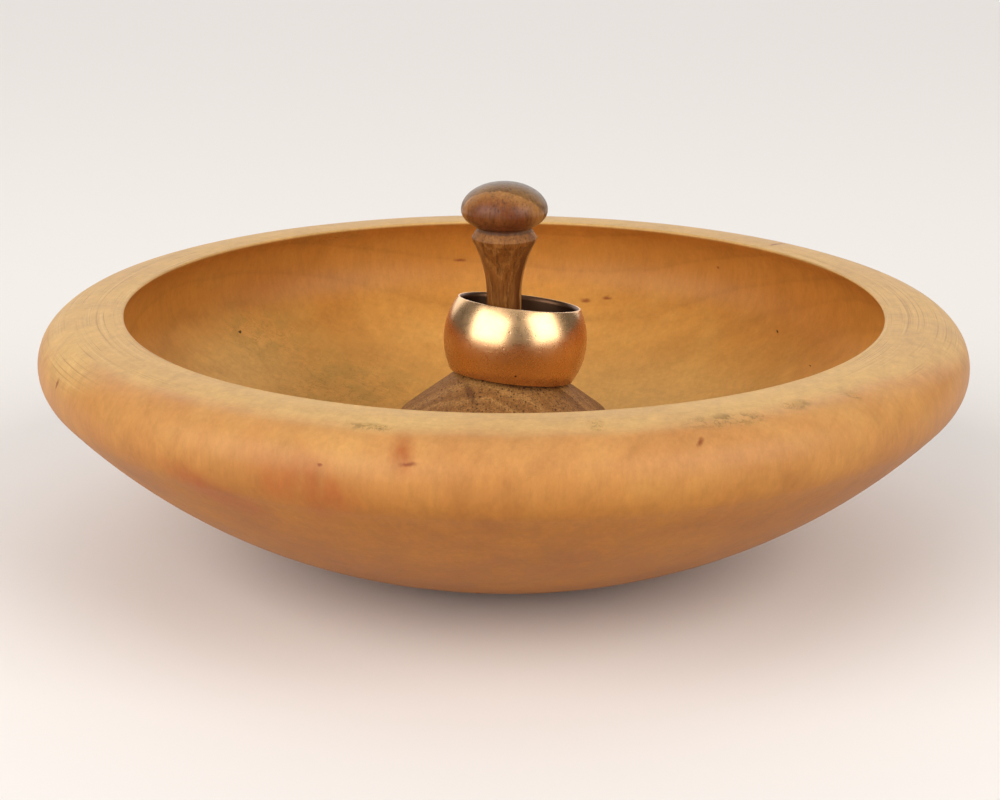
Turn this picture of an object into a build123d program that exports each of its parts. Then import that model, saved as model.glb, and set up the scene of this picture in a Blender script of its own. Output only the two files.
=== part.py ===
from build123d import *

import math
import os

# Ring bowl: a turned wooden dish with a turned walnut post standing in its middle,
# and a wide domed gold band resting aslant on the post.
# Millimetres. +Z is up, the origin is on the axis of the bowl, in the plane it stands on.

# Bowl
LIP_HEIGHT = 37.55          # the rim's inner lip above the table
LIP_RADIUS = 56.45          # where the rim's land meets the inside wall, before it is eased
LIP_EASE = 0.5              # rounding of that corner
LAND_TILT = 4.9             # degrees that the land still rises at the lip
LAND_RADIUS = 28.45         # crown of the land
LAND_TURN = 17.2            # degrees
ROLL_RADIUS = 6.3           # the rim's rounded outer edge
ROLL_TURN = 119.6           # degrees
FOOT_RADIUS = 21.6          # outer edge of the ring it stands on
FOOT_RING = 3.6             # width of that ring
FOOT_RECESS = 1.4           # depth of the hollow under the foot
FLOOR_HEIGHT = 11.5         # the inside floor above the table
FLOOR_RADIUS = 19.0         # flat middle of the inside, which the post stands on
WALL_RADIUS = 56.6          # end of the inside's long curve, where the undercut starts
WALL_HEIGHT = 24.5

# Glued joint between the post and the bowl
TENON_RADIUS = 5.0
TENON_LENGTH = 5.4
TENON_CHAMFER = 0.5
GLUE_GAP = 0.05             # around the tenon
MORTISE_EXTRA = 0.6         # space left under the tenon

# Post
FLANK_ANGLE = 37.0          # degrees below level, on the cone's straight flank
SHOULDER_RADIUS = 15.6      # end of that flank
SHOULDER_HEIGHT = 20.15
SHOULDER_ROUND = 2.8        # from the flank round to the cone's side
SIDE_TUCK = 0.7             # the side draws in by this much down to the bowl's floor
COVE_RADIUS = 8.0           # the flank sweeps up into the stem
STEM_RADIUS = 2.65
FLARE_START = 38.6          # height where the stem begins to widen
FLARE_RADIUS = 17.3
FLARE_TURN = 29.0           # degrees
COLLAR_RADIUS = 4.98
COLLAR_HEIGHT = 47.6        # the collar's sharp ridge
NECK_RADIUS = 4.2
NECK_HEIGHT = 48.8
KNOB_RADIUS = 6.56
KNOB_HEIGHT = 51.8          # the knob's widest
KNOB_RISE = 4.2             # from there to its top
KNOB_DROP = 3.4             # half-height of its flatter underside

# Gold band
BAND_BORE = 9.1             # radius
BAND_RADIUS = 11.0          # at the crown
BAND_EDGE = 0.32            # wall at the two edges
BAND_WIDTH = 11.34
BAND_LEAN = 6.25            # degrees that its top leans towards +X
BAND_NOD = 7.0              # degrees that its top leans towards +Y
BAND_X = 1.75               # centre of the tilted band
BAND_Y = 1.64
BAND_Z = 31.3


def turned(profile):
    """Turn a closed outline, given as radius and height, about the vertical axis."""
    return revolve(Plane.XZ * make_face(profile), axis=Axis.Z)


def heading(degrees):
    """Unit direction in an outline, counted anticlockwise from straight out."""
    return (math.cos(math.radians(degrees)), math.sin(math.radians(degrees)))


def bowl_outside():
    """Land, rolled edge and belly, from the lip round to the foot."""
    land = JernArc((LIP_RADIUS, LIP_HEIGHT), heading(LAND_TILT), LAND_RADIUS, -LAND_TURN)
    roll = JernArc(land @ 1, land % 1, ROLL_RADIUS, -ROLL_TURN)
    belly = TangentArc(roll @ 1, (FOOT_RADIUS, 0), tangent=roll % 1)
    return [land, roll, belly]


def bowl_underside():
    """The ring it stands on and the shallow dished recess inside it."""
    ring_inside = FOOT_RADIUS - FOOT_RING
    ring = Line((FOOT_RADIUS, 0), (ring_inside, 0))
    step = Line(ring @ 1, (ring_inside - FOOT_RECESS / 2, FOOT_RECESS / 2))
    dish = TangentArc((0, FOOT_RECESS), step @ 1, tangent=(1, 0))
    return [ring, step, dish]


def bowl_inside():
    """The flat middle, the long curve of the inside and the undercut below the lip."""
    middle = Line((0, FLOOR_HEIGHT), (FLOOR_RADIUS, FLOOR_HEIGHT))
    curve = TangentArc(middle @ 1, (WALL_RADIUS, WALL_HEIGHT), tangent=middle % 1)
    undercut = TangentArc(curve @ 1, (LIP_RADIUS, LIP_HEIGHT), tangent=curve % 1)
    return [middle, curve, undercut]


def make_bowl():
    centre_line = Line((0, FOOT_RECESS), (0, FLOOR_HEIGHT))
    outline = bowl_inside() + bowl_outside() + bowl_underside() + [centre_line]
    body = turned(outline)
    circles = body.edges().filter_by(GeomType.CIRCLE)
    lip = circles.sort_by_distance((LIP_RADIUS, 0, LIP_HEIGHT))[0]
    body = fillet(lip, LIP_EASE)
    depth = TENON_LENGTH + MORTISE_EXTRA
    mortise = Pos(0, 0, FLOOR_HEIGHT - depth) * Cylinder(
        TENON_RADIUS + GLUE_GAP, depth, align=(Align.CENTER, Align.CENTER, Align.MIN))
    return body - mortise


def post_base():
    """Cove, cone, rounded shoulder, side and tenon, from the foot of the stem down."""
    turn = 90 - FLANK_ANGLE
    cove_reach = COVE_RADIUS * (1 - math.cos(math.radians(turn)))
    cove_drop = COVE_RADIUS * math.sin(math.radians(turn))
    flank_top = STEM_RADIUS + cove_reach
    flank_rise = (SHOULDER_RADIUS - flank_top) * math.tan(math.radians(FLANK_ANGLE))
    stem_foot = (STEM_RADIUS, SHOULDER_HEIGHT + flank_rise + cove_drop)
    cove = JernArc(stem_foot, (0, -1), COVE_RADIUS, turn)
    flank = Line(cove @ 1, (SHOULDER_RADIUS, SHOULDER_HEIGHT))
    shoulder = JernArc(flank @ 1, flank % 1, SHOULDER_ROUND, -turn)
    side_foot = ((shoulder @ 1).X - SIDE_TUCK, FLOOR_HEIGHT)
    side = TangentArc(shoulder @ 1, side_foot, tangent=shoulder % 1)
    tenon_end = FLOOR_HEIGHT - TENON_LENGTH
    tenon = Polyline(
        side_foot,
        (TENON_RADIUS, FLOOR_HEIGHT),
        (TENON_RADIUS, tenon_end + TENON_CHAMFER),
        (TENON_RADIUS - TENON_CHAMFER, tenon_end),
        (0, tenon_end))
    return [cove, flank, shoulder, side, tenon], stem_foot


def post_top(stem_foot):
    """Stem, flare, collar, neck and knob."""
    stem = Line(stem_foot, (STEM_RADIUS, FLARE_START))
    flare = JernArc(stem @ 1, (0, 1), FLARE_RADIUS, -FLARE_TURN)
    ridge = Line(flare @ 1, (COLLAR_RADIUS, COLLAR_HEIGHT))
    facet = Line(ridge @ 1, (NECK_RADIUS, NECK_HEIGHT))
    knob_start = -math.degrees(math.acos(NECK_RADIUS / KNOB_RADIUS))
    knob_under = EllipticalCenterArc(
        (0, KNOB_HEIGHT), KNOB_RADIUS, KNOB_DROP, start_angle=knob_start, arc_size=-knob_start)
    neck = Line(facet @ 1, knob_under @ 0)
    knob_over = EllipticalCenterArc(
        (0, KNOB_HEIGHT), KNOB_RADIUS, KNOB_RISE, start_angle=0, arc_size=90)
    return [stem, flare, ridge, facet, neck, knob_under, knob_over]


def make_ring_post():
    base, stem_foot = post_base()
    top = post_top(stem_foot)
    centre_line = Line((0, KNOB_HEIGHT + KNOB_RISE), (0, FLOOR_HEIGHT - TENON_LENGTH))
    return turned(base + top + [centre_line])


def make_gold_band():
    """A straight bore inside a domed outside, tilted as it rests on the cone."""
    half = BAND_WIDTH / 2
    edge = BAND_BORE + BAND_EDGE
    bore = Line((BAND_BORE, half), (BAND_BORE, -half))
    low = Line((BAND_BORE, -half), (edge, -half))
    crown = ThreePointArc((edge, -half), (BAND_RADIUS, 0), (edge, half))
    high = Line((edge, half), (BAND_BORE, half))
    ring = turned([bore, low, crown, high])
    tilt = Rot(-BAND_NOD, 0, 0) * Rot(0, BAND_LEAN, 0)
    return Pos(BAND_X, BAND_Y, BAND_Z) * tilt * ring


def main():
    os.makedirs("parts", exist_ok=True)
    parts = {
        "bowl": make_bowl(),
        "ring_post": make_ring_post(),
        "gold_band": make_gold_band(),
    }
    for name, part in parts.items():
        export_step(part, f"parts/{name}.step")


if __name__ == "__main__":
    main()
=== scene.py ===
import math

import bpy
from mathutils import Matrix, Vector


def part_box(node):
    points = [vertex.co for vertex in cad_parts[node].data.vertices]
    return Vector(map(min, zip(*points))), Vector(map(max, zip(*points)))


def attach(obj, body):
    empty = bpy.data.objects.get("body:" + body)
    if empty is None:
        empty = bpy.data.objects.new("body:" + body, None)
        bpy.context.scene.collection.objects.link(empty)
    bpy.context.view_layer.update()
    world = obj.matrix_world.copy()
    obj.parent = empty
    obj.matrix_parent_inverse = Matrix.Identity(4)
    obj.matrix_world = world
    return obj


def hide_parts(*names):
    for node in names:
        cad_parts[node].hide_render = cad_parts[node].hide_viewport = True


# Ring bowl: a turned dish, a walnut ring post glued in it and a gold band resting on the post.
# Metres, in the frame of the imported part: +Z up, origin under the middle of the foot.

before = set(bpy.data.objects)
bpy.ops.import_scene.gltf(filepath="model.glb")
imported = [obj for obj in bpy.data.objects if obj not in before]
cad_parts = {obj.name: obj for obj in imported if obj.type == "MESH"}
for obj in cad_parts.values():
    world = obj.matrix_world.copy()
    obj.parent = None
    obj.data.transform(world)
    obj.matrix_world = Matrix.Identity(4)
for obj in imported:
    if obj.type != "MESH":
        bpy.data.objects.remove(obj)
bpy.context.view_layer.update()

MM = 0.001

# Bowl. Sizes are in mm and angles in degrees.
LIP_HEIGHT = 37.55          # the rim's inner lip above the table
LIP_RADIUS = 56.45
LIP_EASE = 0.5
LAND_TILT = 4.9             # what the land still rises at the lip
LAND_RADIUS = 28.45         # crown of the land
LAND_TURN = 17.2
ROLL_RADIUS = 6.3           # the rim's rounded outer edge
ROLL_TURN = 119.6
FOOT_RADIUS = 21.6          # outer edge of the ring it stands on
FOOT_RING = 3.6             # width of that ring
FOOT_RECESS = 1.4
FLOOR_HEIGHT = 11.5         # the inside floor above the table
FLOOR_RADIUS = 19.0
WALL_RADIUS = 56.6          # end of the inside's long curve, where the undercut starts
WALL_HEIGHT = 24.5

# Post
TENON_RADIUS = 5.0
TENON_LENGTH = 5.4
TENON_CHAMFER = 0.5
FLANK_ANGLE = 37            # below level, on the cone's straight flank
SHOULDER_RADIUS = 15.6      # end of that flank
SHOULDER_HEIGHT = 20.15
SHOULDER_ROUND = 2.8
SIDE_TUCK = 0.7             # the cone's side draws in by this much down to the bowl's floor
COVE_RADIUS = 8.0           # the flank sweeps up into the stem
STEM_RADIUS = 2.65
FLARE_START = 38.6          # height where the stem begins to widen
FLARE_RADIUS = 17.3
FLARE_TURN = 29
COLLAR_RADIUS = 4.98
COLLAR_HEIGHT = 47.6        # the collar's sharp ridge
NECK_RADIUS = 4.2
NECK_HEIGHT = 48.8
KNOB_RADIUS = 6.56
KNOB_HEIGHT = 51.8          # the knob's widest
KNOB_RISE = 4.2             # from there to its top
KNOB_DROP = 3.4             # half-height of its flatter underside

# Gold band
BAND_BORE = 9.1             # radius
BAND_RADIUS = 11.0          # at the crown
BAND_EDGE = 0.32            # wall at the two edges
BAND_WIDTH = 11.34
BAND_CENTRE = (1.75, 1.64, 31.3)
BAND_TILT = (-7.0, 6.25, 0)           # about X, applied last, and about Y

WELD = 1e-6                 # metres: points closer than this are one

# Room and camera, in metres
FLOOR_REACH = 4.0
LAMP_TARGET = (0, 0, 0.03)
CAMERA_PLACE = (0, -0.32747, 0.12107)
CAMERA_ANGLES = (16.847, -0.094, 0.272)     # degrees: looking down, round and tipped
LENS = 80                                   # mm
SENSOR_WIDTH = 36                           # mm


# ---------------------------------------------------------------- node trees

class Value:
    """A socket in a node tree. Arithmetic on numbers adds Math nodes."""

    def __init__(self, tree, socket):
        self.tree = tree
        self.socket = socket

    def maths(self, operation, *others):
        values = dict(enumerate((self,) + others))
        return self.tree.node("ShaderNodeMath", {"operation": operation}, values)

    def __add__(self, other):
        return self.maths("ADD", other)

    def __radd__(self, other):
        return self.maths("ADD", other)

    def __sub__(self, other):
        return self.maths("SUBTRACT", other)

    def __rsub__(self, other):
        return self.tree.number(other).maths("SUBTRACT", self)

    def __mul__(self, other):
        return self.maths("MULTIPLY", other)

    def __rmul__(self, other):
        return self.maths("MULTIPLY", other)

    def __truediv__(self, other):
        return self.maths("DIVIDE", other)

    def __pow__(self, other):
        return self.maths("POWER", other)

    def step(self, low, high, soft=True):
        """0 below low, 1 above high and a smooth rise between them; low may be the larger."""
        return self.tree.node(
            "ShaderNodeMapRange",
            {"interpolation_type": "SMOOTHSTEP" if soft else "LINEAR"},
            {"Value": self, "From Min": low, "From Max": high})


class Tree:
    """Builds nodes in one node tree."""

    def __init__(self, node_tree):
        self.node_tree = node_tree

    def node(self, kind, settings=None, inputs=None, out=0):
        made = self.node_tree.nodes.new(kind)
        for name, value in (settings or {}).items():
            if name == "stops":
                self.set_stops(made.color_ramp, value)
            else:
                setattr(made, name, value)
        for name, value in (inputs or {}).items():
            if isinstance(value, Value):
                self.node_tree.links.new(value.socket, made.inputs[name])
            else:
                made.inputs[name].default_value = value
        return Value(self, made.outputs[out]) if made.outputs else None

    @staticmethod
    def set_stops(ramp, stops):
        while len(ramp.elements) < len(stops):
            ramp.elements.new(0.5)
        for element, (place, colour) in zip(ramp.elements, stops):
            element.position = place
            element.color = (*colour, 1.0)

    def number(self, value):
        return self.node("ShaderNodeMath", {"operation": "ADD"}, {0: value, 1: 0.0})

    def mix(self, share, first, second, blend="MIX"):
        """Mix two colours."""
        return self.node(
            "ShaderNodeMix", {"data_type": "RGBA", "blend_type": blend},
            {0: share, 6: first, 7: second}, out=2)

    def scaled(self, vector, by):
        return self.node("ShaderNodeVectorMath", {"operation": "SCALE"}, {0: vector, "Scale": by})

    def vector_maths(self, operation, first, second, out=0):
        return self.node(
            "ShaderNodeVectorMath", {"operation": operation}, {0: first, 1: second}, out)

    def parts(self, vector):
        """The three numbers of a vector."""
        split = self.node("ShaderNodeSeparateXYZ", inputs={0: vector}).socket.node
        return [Value(self, socket) for socket in split.outputs]


class Finish(Tree):
    """A shader tree in millimetres, with the patterns that the woods and the gold use."""

    def __init__(self, name, **constants):
        self.material = bpy.data.materials.new(name)
        self.material.use_nodes = True
        super().__init__(self.material.node_tree)
        self.shader = self.node_tree.nodes["Principled BSDF"]
        for socket, value in constants.items():
            self.shader.inputs[socket.replace("_", " ")].default_value = value
        place = self.node("ShaderNodeTexCoord", out="Object")
        self.place = self.scaled(place, 1 / MM)
        self.x, self.y, self.z = self.parts(self.place)
        self.mark_place = self.place

    def stretched(self, scale, turn=(0, 0, 0), shift=(0, 0, 0)):
        """Object place turned in degrees, then scaled."""
        return self.node("ShaderNodeMapping", inputs={
            "Vector": self.place, "Location": shift,
            "Rotation": [math.radians(a) for a in turn], "Scale": scale})

    def noise(self, vector, scale=1.0, detail=2.0, rough=0.5, bend=0.0):
        return self.node("ShaderNodeTexNoise", inputs={
            "Vector": vector, "Scale": scale, "Detail": detail,
            "Roughness": rough, "Distortion": bend}, out="Fac")

    def local(self, centre, reach=(1, 1, 1), turn=(0, 0, 0)):
        """Place measured from a centre, along axes turned in degrees, in units of reach."""
        return self.node("ShaderNodeMapping", {"vector_type": "TEXTURE"}, {
            "Vector": self.mark_place, "Location": centre,
            "Rotation": [math.radians(a) for a in turn], "Scale": reach})

    def length(self, vector):
        return self.node("ShaderNodeVectorMath", {"operation": "LENGTH"}, {0: vector}, out="Value")

    def near(self, centre, reach, turn=(0, 0, 0), soft=0.5):
        """1 within reach of a place, fading to 0; reach may differ in the three directions."""
        return self.length(self.local(centre, reach, turn)).step(1.0, 1.0 - soft)

    def any_of(self, places, soft=0.5):
        """The strongest of several such marks."""
        marks = [self.near(*place, soft=soft) for place in places]
        most = marks[0]
        for mark in marks[1:]:
            most = most.maths("MAXIMUM", mark)
        return most

    def ragged(self, scale, reach):
        """Marks made after this have edges that wander by about reach."""
        off = self.node(
            "ShaderNodeTexNoise", inputs={"Vector": self.place, "Scale": scale}, out="Color")
        centred = self.vector_maths("SUBTRACT", off, (0.5, 0.5, 0.5))
        moved = self.scaled(centred, reach * 2)
        self.mark_place = self.vector_maths("ADD", self.place, moved)

    def vector(self, x, y, z):
        return self.node("ShaderNodeCombineXYZ", inputs={0: x, 1: y, 2: z})

    def line_noise(self, along, scale, detail=2.0, rough=0.5):
        """Noise that changes along one value only."""
        return self.node(
            "ShaderNodeTexNoise", {"noise_dimensions": "1D"},
            {"W": along, "Scale": scale, "Detail": detail, "Roughness": rough}, out="Fac")

    def grey(self, value):
        return self.node("ShaderNodeCombineColor", inputs={0: value, 1: value, 2: value})

    def cells(self, vector, scale=1.0):
        """Distance from the nearest of many scattered points."""
        return self.node(
            "ShaderNodeTexVoronoi", inputs={"Vector": vector, "Scale": scale}, out="Distance")

    def colour_of(self, value, stops):
        return self.node("ShaderNodeValToRGB", {"stops": stops}, {0: value})

    def into(self, socket, value):
        self.node_tree.links.new(value.socket, self.shader.inputs[socket])

    def bump(self, height, distance, strength=1.0):
        self.into("Normal", self.node("ShaderNodeBump", inputs={
            "Height": height, "Distance": distance, "Strength": strength}))


def srgb(red, green, blue):
    """Linear colour from the usual 0-255 values."""
    def linear(value):
        value /= 255
        return value / 12.92 if value <= 0.04045 else ((value + 0.055) / 1.055) ** 2.4
    return linear(red), linear(green), linear(blue)


def rgba(*colour):
    return (*srgb(*colour), 1.0)


# ---------------------------------------------------------------- turned shapes

class Outline:
    """A turned outline walked along lines and tangent arcs: radius and height in mm."""

    def __init__(self, radius, height, heading=0.0):
        self.points = [Vector((radius, height))]
        self.heading = math.radians(heading)
        self.corners = []

    def arc(self, radius, turn, step):
        """Turn through degrees, anticlockwise if positive, on a circle of that radius."""
        start, first = self.points[-1].copy(), self.heading
        side = math.copysign(1, turn)
        centre = start + side * radius * Vector((-math.sin(first), math.cos(first)))
        rows = max(2, round(radius * math.radians(abs(turn)) / step))
        for i in range(1, rows + 1):
            at = first + math.radians(turn) * i / rows
            self.points.append(centre - side * radius * Vector((-math.sin(at), math.cos(at))))
        self.heading = first + math.radians(turn)
        return self

    def arc_to(self, radius, height, step):
        """A tangent arc to a point."""
        chord = Vector((radius, height)) - self.points[-1]
        half = math.atan2(chord.y, chord.x) - self.heading
        half = (half + math.pi) % (2 * math.pi) - math.pi
        return self.arc(abs(chord.length / 2 / math.sin(half)), math.degrees(2 * half), step)

    def line_to(self, radius, height, step, ease=0.0):
        """A straight run, with the corner before it rounded by ease."""
        start, end = self.points[-1].copy(), Vector((radius, height))
        self.corner(ease)
        rows = max(1, round((end - start).length / step))
        self.points += [start.lerp(end, i / rows) for i in range(1, rows + 1)]
        self.heading = math.atan2(end.y - start.y, end.x - start.x)
        return self

    def ellipse(self, centre, across, up, first, last, step):
        """Part of an ellipse about a centre height on the axis, between two angles."""
        rows = round(math.radians(last - first) * across / step)
        for i in range(1, rows + 1):
            at = math.radians(first + (last - first) * i / rows)
            self.points.append(Vector((across * math.cos(at), centre + up * math.sin(at))))
        self.heading = math.radians(last + 90)
        return self

    def corner(self, ease):
        if ease:
            self.corners.append((len(self.points) - 1, ease))

    def turn_to(self, heading, ease=0.0):
        """A corner before the next arc."""
        self.corner(ease)
        self.heading = math.radians(heading)
        return self

    def eased(self, steps=5):
        """The points with each marked corner rounded."""
        points = self.points
        for index, ease in reversed(self.corners):
            corner = points[index]
            before = (corner - points[index - 1]).normalized()
            after = (points[index + 1] - corner).normalized()
            reach = ease * math.tan(before.angle(after) / 2)
            head = [p for p in points[:index] if (p - corner).length > reach]
            tail = [p for p in points[index + 1:] if (p - corner).length > reach]
            start, end = corner - before * reach, corner + after * reach
            bend = []
            for i in range(steps + 1):
                t = i / steps
                bend.append(start * (1 - t) ** 2 + corner * 2 * t * (1 - t) + end * t * t)
            points = head + bend + tail
        return points


def lathe_tree():
    """Turns an outline, a chain of points, about Z, with cutter ridges and a slow waver."""
    group = bpy.data.node_groups.new("lathe", "GeometryNodeTree")
    sockets = group.interface
    sockets.new_socket("Outline", in_out="INPUT", socket_type="NodeSocketGeometry")
    for name, kind in (("Segments", "Int"), ("Ridge Depth", "Float"), ("Ridge Scale", "Float"),
                       ("Waver Depth", "Float"), ("Waver Scale", "Float"), ("Inset", "Float"),
                       ("Material", "Material")):
        sockets.new_socket(name, in_out="INPUT", socket_type=f"NodeSocket{kind}")
    sockets.new_socket("Turned", in_out="OUTPUT", socket_type="NodeSocketGeometry")
    tree = Tree(group)
    entry = tree.node("NodeGroupInput").socket.node
    given = {s.name: Value(tree, s) for s in entry.outputs if s.name}
    rows = tree.node("GeometryNodeAttributeDomainSize", inputs={0: given["Outline"]})
    grid = tree.node("GeometryNodeMeshGrid", inputs={
        "Size X": 1.0, "Size Y": 1.0, "Vertices X": rows, "Vertices Y": given["Segments"] + 1})
    flat = tree.node("GeometryNodeInputPosition")
    grid_x, grid_y, _ = tree.parts(flat)
    along = grid_x + 0.5
    around = (grid_y + 0.5) * math.tau
    row = tree.node("ShaderNodeMath", {"operation": "ROUND"}, {0: along * (rows - 1)})
    point = tree.node(
        "GeometryNodeSampleIndex", {"data_type": "FLOAT_VECTOR", "domain": "POINT"},
        {"Geometry": given["Outline"], "Value": flat, "Index": row})
    turned = tree.node(
        "ShaderNodeVectorRotate", {"rotation_type": "Z_AXIS"}, {"Vector": point, "Angle": around})
    placed = tree.node("GeometryNodeSetPosition", inputs={"Geometry": grid, "Position": turned})
    merged = tree.node("GeometryNodeMergeByDistance", inputs={"Geometry": placed, "Distance": WELD})
    # ridges follow the outline's radius and height only, so that they run right round
    here = tree.node("GeometryNodeInputPosition")
    x, y, z = tree.parts(here)
    radius = (x * x + y * y) ** 0.5
    ring = tree.node("ShaderNodeCombineXYZ", inputs={0: radius, 1: z})
    ridge = tree.node("ShaderNodeTexNoise", inputs={
        "Vector": ring, "Scale": given["Ridge Scale"], "Detail": 2.0}, out="Fac")
    waver = tree.node("ShaderNodeTexNoise", inputs={
        "Vector": here, "Scale": given["Waver Scale"], "Detail": 1.0}, out="Fac")
    depth = (ridge - 0.5) * given["Ridge Depth"] + (waver - 0.5) * given["Waver Depth"]
    depth = depth - given["Inset"]
    normal = tree.node("GeometryNodeInputNormal")
    push = tree.scaled(normal, depth)
    cut = tree.node("GeometryNodeSetPosition", inputs={"Geometry": merged, "Offset": push})
    smooth = tree.node("GeometryNodeSetShadeSmooth", inputs={"Geometry": cut})
    real = tree.node("GeometryNodeRealizeInstances", inputs={0: smooth})
    finished = tree.node("GeometryNodeSetMaterial", inputs={
        "Geometry": real, "Material": given["Material"]})
    tree.node("NodeGroupOutput", inputs={0: finished})
    return group


def turned_piece(name, points, tree, material, place=None, **sizes):
    """Bakes the lathe tree on an outline in mm into a plain closed mesh."""
    chain = bpy.data.meshes.new(name + "_outline")
    links = [(i, i + 1) for i in range(len(points) - 1)]
    chain.from_pydata([(p.x * MM, 0, p.y * MM) for p in points], links, [])
    source = bpy.data.objects.new(name + "_outline", chain)
    bpy.context.collection.objects.link(source)
    lathe = source.modifiers.new("lathe", "NODES")
    lathe.node_group = tree
    named = {s.name: s.identifier for s in tree.interface.items_tree if s.in_out == "INPUT"}
    for size, value in sizes.items():
        lathe[named[size.replace("_", " ")]] = value
    lathe[named["Material"]] = material
    bpy.context.view_layer.update()
    ready = source.evaluated_get(bpy.context.evaluated_depsgraph_get())
    mesh = bpy.data.meshes.new_from_object(ready)
    bpy.data.objects.remove(source)
    mesh.name = name
    if place:
        mesh.transform(place)
    piece = bpy.data.objects.new(name, mesh)
    bpy.context.collection.objects.link(piece)
    return piece


# ---------------------------------------------------------------- the three outlines

def bowl_outline():
    """From the middle of the inside over the rim and round to the middle of the foot."""
    line = Outline(0, FLOOR_HEIGHT).line_to(FLOOR_RADIUS, FLOOR_HEIGHT, step=2.0)
    line.arc_to(WALL_RADIUS, WALL_HEIGHT, step=1.2).arc_to(LIP_RADIUS, LIP_HEIGHT, step=0.5)
    line.turn_to(LAND_TILT, ease=LIP_EASE).arc(LAND_RADIUS, -LAND_TURN, step=0.16)
    line.arc(ROLL_RADIUS, -ROLL_TURN, step=0.16).arc_to(FOOT_RADIUS, 0, step=1.0)
    ring_inside = FOOT_RADIUS - FOOT_RING
    recess_edge = (ring_inside - FOOT_RECESS / 2, FOOT_RECESS / 2)
    line.line_to(ring_inside, 0, step=0.9, ease=0.25).line_to(*recess_edge, step=0.3, ease=0.2)
    recess = Outline(0, FOOT_RECESS).arc_to(*recess_edge, step=2.0)
    return line.eased() + recess.points[-2::-1]


def post_outline():
    """From the top of the knob down to the tenon."""
    tenon_end = FLOOR_HEIGHT - TENON_LENGTH
    tenon = Outline(0, tenon_end).line_to(TENON_RADIUS - TENON_CHAMFER, tenon_end, step=2.0)
    tenon.line_to(TENON_RADIUS, tenon_end + TENON_CHAMFER, step=0.5)
    tenon.line_to(TENON_RADIUS, FLOOR_HEIGHT, step=2.0)

    turn = 90 - FLANK_ANGLE
    flank_top = STEM_RADIUS + COVE_RADIUS * (1 - math.cos(math.radians(turn)))
    flank_rise = (SHOULDER_RADIUS - flank_top) * math.tan(math.radians(FLANK_ANGLE))
    cove_drop = COVE_RADIUS * math.sin(math.radians(turn))
    stem_foot = SHOULDER_HEIGHT + flank_rise + cove_drop
    cone = Outline(STEM_RADIUS, stem_foot, -90).arc(COVE_RADIUS, turn, step=0.35)
    cone.line_to(SHOULDER_RADIUS, SHOULDER_HEIGHT, step=0.35)
    cone.arc(SHOULDER_ROUND, -turn, step=0.25)
    cone.arc_to(cone.points[-1].x - SIDE_TUCK, FLOOR_HEIGHT, step=0.6)

    top = Outline(STEM_RADIUS, stem_foot).line_to(STEM_RADIUS, FLARE_START, step=0.5)
    top.turn_to(90).arc(FLARE_RADIUS, -FLARE_TURN, step=0.25)
    top.line_to(COLLAR_RADIUS, COLLAR_HEIGHT, step=0.2)
    top.line_to(NECK_RADIUS, NECK_HEIGHT, step=0.15, ease=0.16)
    under = math.degrees(math.acos(NECK_RADIUS / KNOB_RADIUS))
    neck_top = KNOB_HEIGHT - KNOB_DROP * math.sin(math.radians(under))
    top.line_to(NECK_RADIUS, neck_top, step=0.15, ease=0.2)
    top.corner(0.12)
    top.ellipse(KNOB_HEIGHT, KNOB_RADIUS, KNOB_DROP, -under, 0, step=0.18)
    top.ellipse(KNOB_HEIGHT, KNOB_RADIUS, KNOB_RISE, 0, 90, step=0.18)
    upwards = tenon.points + cone.points[::-1] + top.eased()[1:]
    return upwards[::-1]


def band_outline():
    """Up the domed outside and back down the bore, before the band is tilted."""
    half = BAND_WIDTH / 2
    edge = BAND_BORE + BAND_EDGE
    ring = Outline(BAND_BORE, half).line_to(BAND_BORE, -half, step=0.75)
    ring.line_to(edge, -half, step=0.3, ease=0.1)
    dome = math.degrees(4 * math.atan((BAND_RADIUS - edge) / half))
    ring.turn_to(90 - dome / 2, ease=0.1).arc_to(edge, half, step=0.3)
    ring.line_to(BAND_BORE, half, step=0.3, ease=0.1)
    return ring.eased()[::-1]


# ---------------------------------------------------------------- finishes

# Zones along a height or a radius, mm: where each begins and where it is full.
BELOW_LIP = (37.35, 36.9)
WITHIN_UNDERCUT = (60.6, 60.2)
RIM_SIDE = (30.5, 34.5)
# painted shade: the belly is painted darker from the first height down to the second
BELLY_SHADE = (37, 24)
# painted light: the inside floor is painted paler from the first height down to the second
INSIDE_FLOOR_LIGHT = (26, 13)
# painted shade: the inside wall is painted darker from the first height up to the second
INSIDE_WALL_SHADE = (22, 31)
ON_KNOB = (48.6, 49.2)
ON_CONE = (31.0, 27.0)
FACET = ((47.3, 47.6), (49.0, 48.7))
# painted shade: the groove between collar and knob
NECK = ((48.5, 48.8), (49.6, 49.2))
IN_BORE = (9.25, 9.12)

# The heart of the log the bowl came from: a line above it, running away from the front.
HEART = (0, 18, 93)
HEART_RUN = (0.252, 0.936, 0.245)
RINGS = (46.0, 52.6, 59.5, 66.0, 72.8, 78.2, 82.0, 85.8, 91.0)      # mm from the heart
RING_SPAN = (40.0, 100.0)
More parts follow.
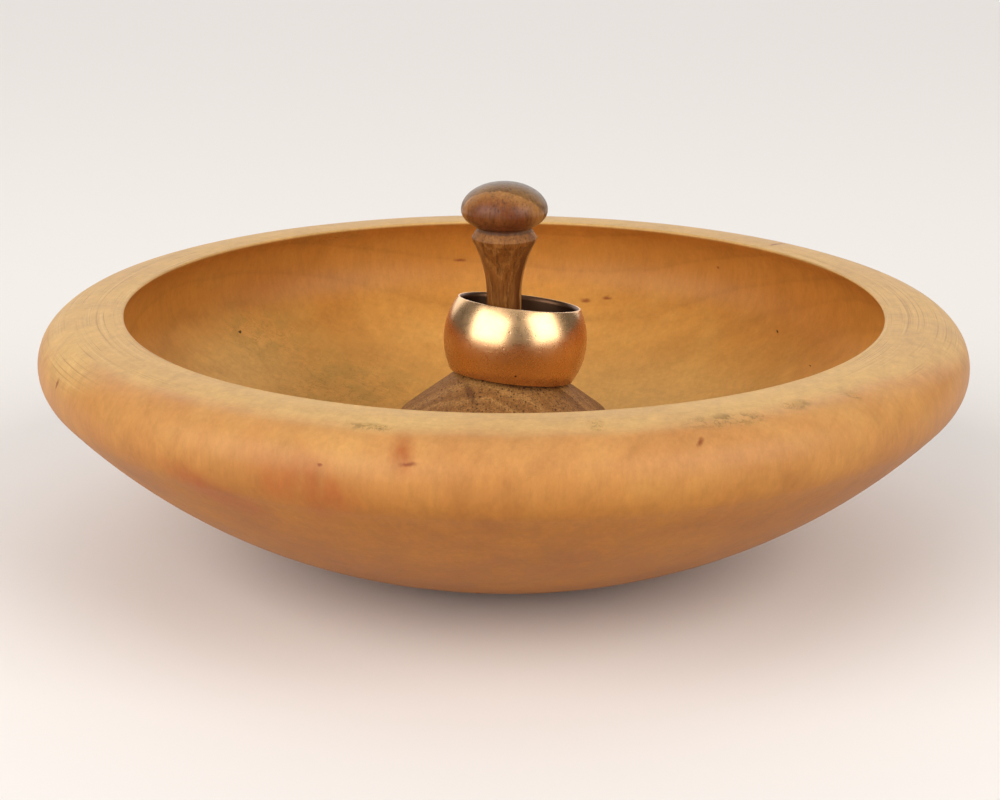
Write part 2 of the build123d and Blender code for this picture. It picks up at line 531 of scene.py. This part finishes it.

# Marks in the bowl's wood, and patches of painted light and shade on the inside: place in mm, reach
# in three directions, turn in degrees.
PIN_KNOTS = [
    ((-62.2, -30.7, 33.3), (0.5, 0.6, 1.3), (0, 14, 0)),
    ((24.6, -62.9, 35.6), (0.5, 1.5, 1.0), (0, 30, 0)),
    ((-11.7, -68.0, 34.1), (1.6, 1.5, 0.42), (0, -4, 0)),
    ((-22.8, -65.6, 33.2), (0.5, 1.5, 0.28), (0, 0, 0)),
    ((-7.9, 59.2, 30.0), (1.6, 1.5, 0.42), (0, 0, 0)),
    ((14.4, 54.1, 24.0), (1.3, 2.0, 0.5), (0, 0, 0)),
    ((18.2, 53.7, 24.6), (1.2, 2.0, 0.42), (0, 0, 0)),
    ((37.0, 46.9, 31.8), (0.4, 1.5, 0.3), (0, 30, 0)),
    ((46.2, 40.6, 37.6), (0.6, 3.2, 1.6), (0, 0, -42)),
    ((6.0, -66.5, 22.5), (1.1, 1.5, 0.35), (0, 0, 0)),
    ((-4.5, 62.0, 26.0), (0.4, 3.0, 0.9), (0, 20, 0)),
    ((-41.0, 54.0, 30.0), (0.9, 0.9, 0.5), (0, 0, 0)),
]
PIN_HOLES = [
    ((-44.3, 33.2, 23.6), (0.28, 0.8, 0.28), (0, 0, 0)),
    ((45.8, 32.8, 24.3), (0.2, 0.8, 0.2), (0, 0, 0)),
    ((49.7, 19.3, 22.1), (0.2, 0.8, 0.2), (0, 0, 0)),
    ((-30.5, 47.8, 36.3), (0.3, 1.0, 0.5), (0, -20, 0)),
]
RED_STAINS = [
    ((-24.5, -65.0, 30.0), (11, 12, 6.2), (0, 12, 0)),
    ((-12.5, -66.5, 35.0), (2.4, 6, 3.4), (0, 8, 0)),
    ((-38.0, -58.0, 27.0), (12, 12, 3.2), (0, 20, 0)),
]
PALE = [
    ((-60.0, -28.0, 36.0), (15, 17, 5), (0, 0, 0)),
]
# painted light: paler patches on the inside wall and floor
PAINTED_LIGHT_PATCHES = [
    ((20.0, 26.0, 13.0), (34, 24, 9), (0, 0, 0)),
    ((-44.0, 24.0, 20.0), (20, 24, 10), (0, 0, 0)),
]
# painted shade: darker patches on the inside wall
PAINTED_SHADE_PATCHES = [
    ((50.0, 32.0, 26.0), (24, 28, 12), (0, 0, 0)),
    ((-42.0, 44.0, 29.0), (20, 14, 6), (0, 0, 0)),
]
SPALT = [
    ((28.8, -58.1, 37.2), (9.0, 2.6, 1.4), (0, 0, 24)),
    ((38.0, -51.8, 37.3), (3.4, 1.8, 1.2), (0, 0, 38)),
    ((46.4, -46.2, 36.9), (1.6, 1.8, 1.4), (0, 0, 45)),
    ((11.7, -61.8, 37.4), (1.6, 2.6, 1.2), (0, 0, 10)),
    ((-16.7, -62.0, 37.2), (4.4, 1.4, 1.3), (0, 0, -14)),
    ((-26.0, 28.0, 15.5), (21, 19, 8), (0, 0, 0)),
    ((-40.0, 34.0, 23.0), (12, 12, 8), (0, 0, 0)),
    ((-30.0, 48.5, 35.8), (11, 3.0, 2.2), (0, 0, 30)),
]


def ring_stops():
    """Each year darkens slowly to a thin line and starts again pale."""
    low, high = RING_SPAN
    stops = []
    for ring in RINGS:
        for away, shade in ((-0.8, 0.50), (0.0, 0.36), (0.35, 0.53)):
            stops.append(((ring + away - low) / (high - low), (shade, shade, shade)))
    return stops


def bowl_wood():
    wood = Finish("bowl_wood", IOR=1.45, Specular_IOR_Level=0.28)
    x, y, z = wood.x, wood.y, wood.z
    radius = (x * x + y * y) ** 0.5

    # where on the bowl, 1 or 0: inside below the lip, on the pale top of the rim, low on the belly
    # (where the belly gets painted shade)
    middle_of_wall = radius * radius * 0.005 + 3.5
    inside = (z - middle_of_wall).step(-1, 1)
    inside = inside * radius.step(*WITHIN_UNDERCUT) * z.step(*BELOW_LIP)
    wobble = wood.noise(wood.place, 0.06, 3)
    aside = y.step(-50, -15)
    outward = radius - 64.3 - aside * 6.0 + (37.2 - z) * (1.2 - aside * 0.9) + (wobble - 0.5) * 5
    rim_top = outward.step(2.4, -2.4) * z.step(*RIM_SIDE)
    rim_top = rim_top.maths("MAXIMUM", wood.any_of(PALE, soft=0.8)) * (1 - inside)
    # low is the mask of the belly's painted shade
    low = z.step(*BELLY_SHADE) * (1 - inside)

    # growth rings about the heart, fibres along it
    from_heart = wood.vector_maths("SUBTRACT", wood.place, HEART)
    square = wood.vector_maths("DOT_PRODUCT", from_heart, from_heart, out=1)
    run = wood.vector_maths("DOT_PRODUCT", from_heart, HEART_RUN, out=1)
    sway = wood.noise(wood.place, 0.05, 2)
    growth = (square - run * run) ** 0.5 + (sway - 0.5) * 2.5
    season = wood.colour_of(growth.step(*RING_SPAN, soft=False), ring_stops())
    fibre_place = wood.vector_maths("ADD", from_heart, wood.scaled(HEART_RUN, run * -0.93))
    fibres = wood.noise(fibre_place, 1.4, 4, 0.65)
    fine = wood.noise(fibre_place, 5.0, 3, 0.7)
    cloud = wood.noise(wood.place, 0.075, 4, 0.6, 0.6)
    figure = wood.noise(wood.stretched((0.45, 0.45, 0.11), turn=(0, 12, 0)), 1.0, 3, 0.6)

    # base colours
    outside_colour = wood.colour_of(cloud, [
        (0.30, srgb(181, 124, 68)), (0.5, srgb(189, 134, 75)), (0.72, srgb(196, 145, 82))])
    # painted shade: a darker, redder colour low on the belly, for the shade where it turns under,
    # away from the lamps
    belly_shade_colour = wood.colour_of(cloud, [(0.3, srgb(152, 90, 20)), (0.7, srgb(169, 106, 27))])
    inside_colour = wood.colour_of(cloud, [
        (0.30, srgb(182, 121, 48)), (0.5, srgb(190, 131, 56)), (0.72, srgb(197, 142, 66))])
    rim_colour = wood.colour_of(cloud, [(0.3, srgb(194, 150, 88)), (0.7, srgb(204, 162, 98))])
    colour = wood.mix(low, outside_colour, belly_shade_colour)
    colour = wood.mix(inside, colour, inside_colour)
    # painted light: the floor of the inside is painted paler
    colour = wood.mix(z.step(*INSIDE_FLOOR_LIGHT) * inside * 0.5, colour, rgba(210, 158, 86))
    # painted shade: the upper inside wall, under the lip, is painted darker
    colour = wood.mix(z.step(*INSIDE_WALL_SHADE) * inside * 0.75, colour, rgba(174, 112, 44))
    # painted light and painted shade: the paler and darker patches on the inside
    colour = wood.mix(wood.any_of(PAINTED_LIGHT_PATCHES, soft=1) * inside * 0.7, colour, rgba(216, 168, 98))
    colour = wood.mix(wood.any_of(PAINTED_SHADE_PATCHES, soft=1) * inside * 0.6, colour, rgba(168, 102, 38))
    colour = wood.mix(rim_top, colour, rim_colour)

    # red stain, growth rings, figure and fibres
    stain_edge = (figure - 0.5) * 1.4 + 0.62
    stain = wood.any_of(RED_STAINS, soft=0.9) * stain_edge.maths("MAXIMUM", 0.0)
    colour = wood.mix(stain, colour, rgba(152, 74, 30))
    mottle = wood.noise(wood.place, 0.3, 3, 0.6, 0.4)
    shade = (season - 0.5) * (inside * 0.25 + 0.3) + (figure - 0.5) * 0.28 + (mottle - 0.5) * 0.2
    strokes = wood.noise(wood.stretched((1.3, 1.3, 0.4), turn=(0, 28, 0)), 1.0, 4, 0.7)
    shade = shade + (fibres - 0.5) * 0.14 + (fine - 0.5) * 0.12 + (strokes - 0.5) * 0.34
    colour = wood.mix(1.0, colour, wood.grey(shade + 1.0), "MULTIPLY")

    # spalting: thin wandering olive lines with a tint around them
    squiggle = wood.noise(wood.place, 0.32, 4, 0.62, 1.6)
    threads = (squiggle - 0.5).maths("ABSOLUTE").step(0.028, 0.0)
    spalted = wood.any_of(SPALT, soft=0.8)
    patchy = wood.noise(wood.place, 0.25, 3, 0.6).step(0.42, 0.62)
    colour = wood.mix(spalted * patchy * 0.35, colour, rgba(150, 122, 62))
    colour = wood.mix(spalted * threads * (0.5 - inside * 0.2), colour, rgba(92, 74, 36))
    blotch = wood.noise(wood.stretched((0.5, 0.5, 1.3)), 1.0, 4, 0.66).step(0.50, 0.60)
    colour = wood.mix(spalted * blotch * (1 - inside) * 0.7, colour, rgba(128, 98, 46))

    # pin knots and holes
    wood.ragged(1.1, 0.28)
    knots = wood.any_of(PIN_KNOTS, soft=0.85)
    holes = wood.any_of(PIN_HOLES, soft=0.5)
    colour = wood.mix(knots * 0.8, colour, rgba(124, 56, 22))
    colour = wood.mix(holes * 0.9, colour, rgba(48, 32, 10))

    # sanding scratches right round the top of the rim, in arcs
    turn_place = wood.vector(radius * 4.6, x / radius * 1.6, y / radius * 1.6)
    scratch = wood.noise(turn_place, 1.0, 3, 0.75)
    end_grain = (x / radius).maths("ABSOLUTE").step(0.55, 0.9)
    arcs = wood.vector(radius * 0.5, x / radius * 4, y / radius * 4)
    broken = wood.noise(arcs, 1.0, 2).step(0.36, 0.56)
    dark_scratch = scratch.step(0.47, 0.35) * rim_top * broken * (end_grain * 0.8 + 0.2)
    pale_scratch = scratch.step(0.54, 0.66) * rim_top * broken * (end_grain * 0.8 + 0.2)
    colour = wood.mix(dark_scratch * 0.5, colour, rgba(140, 102, 56))
    colour = wood.mix(pale_scratch * 0.32, colour, rgba(226, 192, 138))
    wood.into("Base Color", colour)

    rough = cloud * 0.14 + inside * 0.08 + rim_top * 0.10 + (fine - 0.5) * 0.12 + spalted * 0.1
    wood.into("Roughness", rough + 0.36)
    cutter = wood.noise(wood.vector(radius * 2.2, z * 2.2, 0.0), 1.0, 2)
    height = fine * 0.35 + fibres * 0.45 + cutter * 0.25 + scratch * rim_top * 0.5
    height = height - knots * 0.5 - holes * 2
    wood.bump(height, 0.06 * MM, 0.6)
    return wood.material


# Marks on the post: the knob's dark side, then darker streaks up the front.
KNOB_SHADE = ((1.9, -6.2, 52.0), (3.0, 3.5, 2.2))
STREAKS = [
    ((0.5, -3.4, 37.0), (0.32, 2.2, 6.5), (0, 0, 0)),
    ((-0.9, -3.8, 44.0), (0.28, 1.6, 4.5), (0, -6, 0)),
    ((1.5, -3.6, 43.0), (0.30, 1.6, 5.0), (0, 5, 0)),
    ((-2.9, -3.8, 45.0), (0.35, 2.0, 3.5), (0, -10, 0)),
    ((-5.0, -7.5, 25.0), (0.8, 4.5, 4.0), (0, 0, 20)),
]


def walnut():
    wood = Finish("walnut", IOR=1.45, Specular_IOR_Level=0.3)
    x, y, z = wood.x, wood.y, wood.z
    on_knob = z.step(*ON_KNOB)
    on_cone = z.step(*ON_CONE)
    facet = z.step(*FACET[0]) * z.step(*FACET[1])

    # growth layers stand nearly square to the front, fibres run up the post
    sway = wood.noise(wood.stretched((0.22, 0.22, 0.06)), 1.0, 3)
    ragged = wood.noise(wood.stretched((1.6, 1.6, 0.35)), 1.0, 4, 0.65)
    layer = y * 0.93 + x * 0.36 + (sway - 0.5) * 3.0 + (ragged - 0.5) * 1.6
    cap_layer = x * 0.18 + y * 0.89 + (z - KNOB_HEIGHT) * 0.42
    cap_layer = cap_layer + (sway - 0.5) * 2.0 + (ragged - 0.5) * 1.7
    knob_colour = wood.colour_of((cap_layer + 7.0) / 10.0, [
        (0.06, srgb(116, 68, 34)), (0.20, srgb(106, 58, 28)), (0.31, srgb(128, 78, 38)),
        (0.40, srgb(150, 100, 52)), (0.50, srgb(158, 110, 60)), (0.54, srgb(114, 78, 40)),
        (0.60, srgb(124, 88, 46)), (0.75, srgb(110, 78, 40)), (0.95, srgb(84, 62, 38))])
    bands = wood.line_noise(layer, 0.5, 3, 0.6)
    stem_colour = wood.colour_of(bands, [
        (0.36, srgb(96, 50, 18)), (0.5, srgb(130, 78, 32)), (0.62, srgb(160, 108, 54))])
    cone_colour = wood.colour_of(bands, [
        (0.36, srgb(124, 80, 34)), (0.5, srgb(142, 96, 46)), (0.62, srgb(158, 112, 58))])
    colour = wood.mix(on_cone, stem_colour, cone_colour)
    colour = wood.mix(on_knob, colour, knob_colour)
    colour = wood.mix(facet * 0.5, colour, rgba(150, 102, 56))
    shadowed = wood.near(*KNOB_SHADE, soft=1.0)
    colour = wood.mix(shadowed * 0.55, colour, rgba(96, 46, 22))

    fibres = wood.noise(wood.stretched((2.2, 2.2, 0.16)), 1.0, 4, 0.65)
    hair = wood.noise(wood.stretched((4.5, 4.5, 0.3)), 1.0, 4, 0.72)
    grit = wood.noise(wood.place, 4.0, 4, 0.75)
    patches = wood.noise(wood.stretched((0.5, 0.5, 0.3)), 1.0, 4, 0.7)
    shade = (fibres - 0.5) * 1.1 + (hair - 0.5) * 0.8 + (grit - 0.5) * (on_cone * 1.8 + 0.4)
    shade = shade + (patches - 0.5) * (on_knob * 0.9 + 0.2) + 1.0
    colour = wood.mix(1.0, colour, wood.grey(shade), "MULTIPLY")
    wood.ragged(1.4, 0.35)
    colour = wood.mix(wood.any_of(STREAKS, soft=0.8) * 0.6, colour, rgba(72, 36, 14))

    # open pores: fine vessels up the post, cut across on the cap and the cone
    vessels = wood.cells(wood.stretched((1.7, 1.7, 0.16)), 1.0)
    small_vessels = wood.cells(wood.stretched((3.4, 3.4, 0.4), shift=(4, 2, 1)), 1.0)
    pores = vessels.step(0.30, 0.14).maths("MAXIMUM", small_vessels.step(0.32, 0.12) * 0.8)
    colour = wood.mix(pores * (on_cone * 0.35 + 0.4), colour, rgba(58, 30, 14))
    # painted shade, greyed as a painted reflection, in the groove between collar and knob
    neck = z.step(*NECK[0]) * z.step(*NECK[1])
    colour = wood.mix(neck * 0.55, colour, rgba(72, 56, 46))
    wood.into("Base Color", colour)

    rough = 0.36 - on_knob * 0.04 + on_cone * 0.24 + facet * 0.22
    rough = rough + (fibres - 0.5) * 0.25 + (hair - 0.5) * 0.2
    wood.into("Roughness", rough)
    height = fibres * 0.4 + hair * 0.3 - pores * (on_cone * 1.2 + 0.5)
    height = height + (facet * 0.8 + on_cone * 0.7) * grit
    wood.bump(height, 0.09 * MM, 0.8)
    return wood.material


PIT = ((1.8, -9.0, 28.3), (0.22, 1.6, 0.2))


def gold():
    metal = Finish("gold", Metallic=1.0)
    ring = metal.local(BAND_CENTRE, turn=BAND_TILT)
    x, y, z = metal.parts(ring)
    radius = (x * x + y * y) ** 0.5
    bore = radius.step(*IN_BORE)

    cloud = metal.noise(ring, 0.22, 4, 0.6)
    smudge = metal.noise(ring, 0.9, 4, 0.65, 0.8)
    colour = metal.colour_of(cloud, [(0.3, srgb(228, 182, 130)), (0.7, srgb(238, 194, 144))])
    # random smudges of tarnish, and the lower half painted darker and warmer: a painted reflection
    # of the wood below the band
    tarnish_and_painted_reflection = smudge.step(0.5, 0.8) * 0.16 + z.step(0.5, -3.0) * 0.38
    colour = metal.mix(tarnish_and_painted_reflection, colour, rgba(208, 154, 104))
    # painted shade: the bore inside the band is painted dark brown
    colour = metal.mix(bore * 0.92, colour, rgba(72, 46, 36))

    # fine wear: hairlines mostly round the band, small dents and one pit near the lower edge
    round_place = metal.vector(x / radius * 3.5, y / radius * 3.5, z * 9.0)
    hairline = metal.noise(round_place, 1.0, 3, 0.75).step(0.64, 0.72)
    stray = metal.noise(metal.stretched((9, 9, 0.9), turn=(0, 35, 20)), 1.0, 2, 0.7)
    stray = stray.step(0.68, 0.76)
    dents = metal.cells(ring, 0.55).step(0.12, 0.02)
    pit = metal.near(*PIT, soft=0.5)
    colour = metal.mix(pit * 0.9, colour, rgba(40, 18, 8))
    metal.into("Base Color", colour)
    rough = 0.28 + (smudge - 0.5) * 0.16 + hairline * 0.06 + stray * 0.05 + bore * 0.1
    metal.into("Roughness", rough)
    height = smudge * 0.06 - hairline * 0.25 - stray * 0.25 - dents * 0.9 - pit * 1.5
    metal.bump(height, 0.02 * MM, 0.7)
    return metal.material


def pale_floor():
    paint = bpy.data.materials.new("pale_floor")
    paint.use_nodes = True
    shader = paint.node_tree.nodes["Principled BSDF"]
    shader.inputs["Base Color"].default_value = rgba(238, 234, 230)
    shader.inputs["Roughness"].default_value = 0.9
    shader.inputs["Specular IOR Level"].default_value = 0.1
    return paint


# ---------------------------------------------------------------- stage, light and camera

def lay_floor():
    mesh = bpy.data.meshes.new("floor")
    sides = ((-1, -1), (1, -1), (1, 1), (-1, 1))
    corners = [(x * FLOOR_REACH, y * FLOOR_REACH, 0) for x, y in sides]
    mesh.from_pydata(corners, [], [(0, 1, 2, 3)])
    mesh.materials.append(pale_floor())
    floor = bpy.data.objects.new("floor", mesh)
    bpy.context.collection.objects.link(floor)


LAMPS = {
    "window_left": {
        "azimuth": -48, "elevation": 28, "distance": 1.2, "size": (1.35, 0.98),
        "power": 15.2, "colour": (1, 0.982, 0.965)},
    "window_right": {
        "azimuth": 54, "elevation": 28, "distance": 1.2, "size": (0.98, 0.98),
        "power": 10.8, "colour": (1, 0.98, 0.96)},
    "ceiling": {
        "azimuth": 0, "elevation": 88, "distance": 1.4, "size": (1.6, 1.6),
        "power": 5.0, "colour": (1, 0.985, 0.975)},
    "back_wall": {
        "azimuth": 180, "elevation": 22, "distance": 1.6, "size": (3.2, 1.2),
        "power": 17.4, "colour": (1, 0.985, 0.975)},
}


def softbox(name, azimuth, elevation, distance, size, power, colour):
    """A soft lamp aimed at the dish. Degrees; azimuth is 0 in front and grows to the right."""
    lamp = bpy.data.lights.new(name, "AREA")
    lamp.shape = "RECTANGLE"
    lamp.size, lamp.size_y = size
    lamp.energy = power
    lamp.color = colour
    light = bpy.data.objects.new(name, lamp)
    a, e = math.radians(azimuth), math.radians(elevation)
    target = Vector(LAMP_TARGET)
    away = Vector((math.sin(a) * math.cos(e), -math.cos(a) * math.cos(e), math.sin(e)))
    light.location = target + away * distance
    light.rotation_mode = "QUATERNION"
    light.rotation_quaternion = (-away).to_track_quat("-Z", "Y")
    bpy.context.collection.objects.link(light)


def light_room():
    world = bpy.data.worlds.new("room")
    world.use_nodes = True
    sky = world.node_tree.nodes["Background"]
    sky.inputs["Color"].default_value = rgba(250, 248, 246)
    sky.inputs["Strength"].default_value = 0.14
    bpy.context.scene.world = world
    for name, lamp in LAMPS.items():
        softbox(name, **lamp)


def set_camera():
    lens = bpy.data.cameras.new("camera")
    lens.lens = LENS
    lens.sensor_width = SENSOR_WIDTH
    camera = bpy.data.objects.new("camera", lens)
    pitch, yaw, roll = [math.radians(a) for a in CAMERA_ANGLES]
    camera.matrix_world = (
        Matrix.Translation(CAMERA_PLACE)
        @ Matrix.Rotation(-yaw, 4, "Z")
        @ Matrix.Rotation(math.pi / 2 - pitch, 4, "X")
        @ Matrix.Rotation(roll, 4, "Z"))
    bpy.context.collection.objects.link(camera)
    bpy.context.scene.camera = camera


def settle(piece, body, node):
    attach(piece, body)
    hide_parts(node)


def main():
    tree = lathe_tree()
    bowl = turned_piece(
        "turned_bowl", bowl_outline(), tree, bowl_wood(), Segments=320,
        Ridge_Depth=0.03 * MM, Ridge_Scale=900.0, Waver_Depth=0.2 * MM, Waver_Scale=25.0,
        Inset=0.07 * MM)
    post = turned_piece(
        "turned_post", post_outline(), tree, walnut(), Segments=160,
        Ridge_Depth=0.01 * MM, Ridge_Scale=900.0, Waver_Depth=0.1 * MM, Waver_Scale=90.0,
        Inset=0.03 * MM)
    low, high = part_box("gold_band")
    middle = (low + high) / 2
    nod, lean = [math.radians(a) for a in BAND_TILT[:2]]
    tilt = Matrix.Translation(middle) @ Matrix.Rotation(nod, 4, "X") @ Matrix.Rotation(lean, 4, "Y")
    band = turned_piece(
        "domed_band", band_outline(), tree, gold(), place=tilt, Segments=220,
        Ridge_Depth=0.0, Ridge_Scale=900.0, Waver_Depth=0.02 * MM, Waver_Scale=200.0,
        Inset=0.01 * MM)
    settle(bowl, "dish", "bowl")
    settle(post, "dish", "ring_post")
    settle(band, "band", "gold_band")
    lay_floor()
    light_room()
    set_camera()
    bpy.context.scene.view_settings.view_transform = "Standard"


main()
